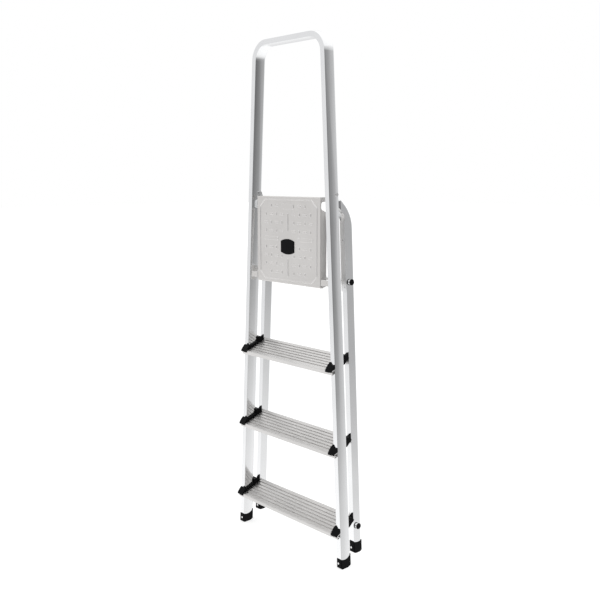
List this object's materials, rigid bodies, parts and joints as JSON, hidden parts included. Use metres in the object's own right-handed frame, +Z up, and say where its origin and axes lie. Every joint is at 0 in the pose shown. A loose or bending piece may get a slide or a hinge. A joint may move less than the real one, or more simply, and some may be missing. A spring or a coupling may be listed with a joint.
{
  "type": "step ladder",
  "caption": "Folding household step ladder with ribbed treads, a fold-down platform, a high rail bow and hinged rear legs.",
  "frame": {"origin": "centre of the footprint on the floor, under the folded ladder", "axes": "+X to the right as seen by the climber, +Y to the back, +Z up along the folded ladder"},
  "size_m": [0.499, 0.1138, 1.6116],
  "materials": {
    "frame_aluminium": "satin anodised tube",
    "tread_aluminium": "ribbed mill-finish extrusion",
    "platform_sheet": "matt galvanised sheet",
    "hinge_steel": "zinc-plated strip",
    "rivet_steel": "plated rivet",
    "keeper_grey": "moulded",
    "black_plastic": "moulded, slight grain"
  },
  "bodies": {
    "front": {"bracket_rivet_lower_left": "rivet_steel", "bracket_rivet_lower_right": "rivet_steel", "bracket_rivet_upper_left": "rivet_steel", "bracket_rivet_upper_right": "rivet_steel", "front_foot_left": "black_plastic", "front_foot_right": "black_plastic", "front_foot_rivet_left": "rivet_steel", "front_foot_rivet_right": "rivet_steel", "front_frame": "frame_aluminium", "hinge_rivet_left": "rivet_steel", "hinge_rivet_right": "rivet_steel", "platform_bracket_left": "platform_sheet", "platform_bracket_right": "platform_sheet", "platform_keeper_left": "keeper_grey", "platform_keeper_right": "keeper_grey", "platform_pin_left": "rivet_steel", "platform_pin_right": "rivet_steel", "tread_bottom": "tread_aluminium", "tread_collar_bottom_left": "black_plastic", "tread_collar_bottom_right": "black_plastic", "tread_collar_middle_left": "black_plastic", "tread_collar_middle_right": "black_plastic", "tread_collar_top_left": "black_plastic", "tread_collar_top_right": "black_plastic", "tread_middle": "tread_aluminium", "tread_top": "tread_aluminium"},
    "platform": {"platform_cap": "black_plastic", "platform_pan": "platform_sheet"},
    "rear": {"arm_rivet_lower_left": "rivet_steel", "arm_rivet_lower_right": "rivet_steel", "arm_rivet_upper_left": "rivet_steel", "arm_rivet_upper_right": "rivet_steel", "brace_cap_left": "black_plastic", "brace_cap_right": "black_plastic", "hinge_arm_left": "hinge_steel", "hinge_arm_right": "hinge_steel", "platform_rod": "frame_aluminium", "rear_brace": "frame_aluminium", "rear_foot_left": "black_plastic", "rear_foot_right": "black_plastic", "rear_foot_rivet_left": "rivet_steel", "rear_foot_rivet_right": "rivet_steel", "rear_leg_left": "frame_aluminium", "rear_leg_right": "frame_aluminium", "rod_cap_left": "black_plastic", "rod_cap_right": "black_plastic"}
  },
  "joints": [
    {"name": "rear_leg_hinge", "type": "hinge", "parent": "front", "child": "rear", "pos_m": [0, -0.01145, 1.138], "axis": [1, 0, 0], "range_deg": [0, 36.8]},
    {"name": "platform_hinge", "type": "hinge", "parent": "front", "child": "platform", "pos_m": [0, -0.02545, 0.873], "axis": [-1, 0, 0], "range_deg": [0, 68.5]}
  ],
  "couplings": [
    {"joint": "platform_hinge", "follows": "rear_leg_hinge", "ratio": 1.859}
  ]
}
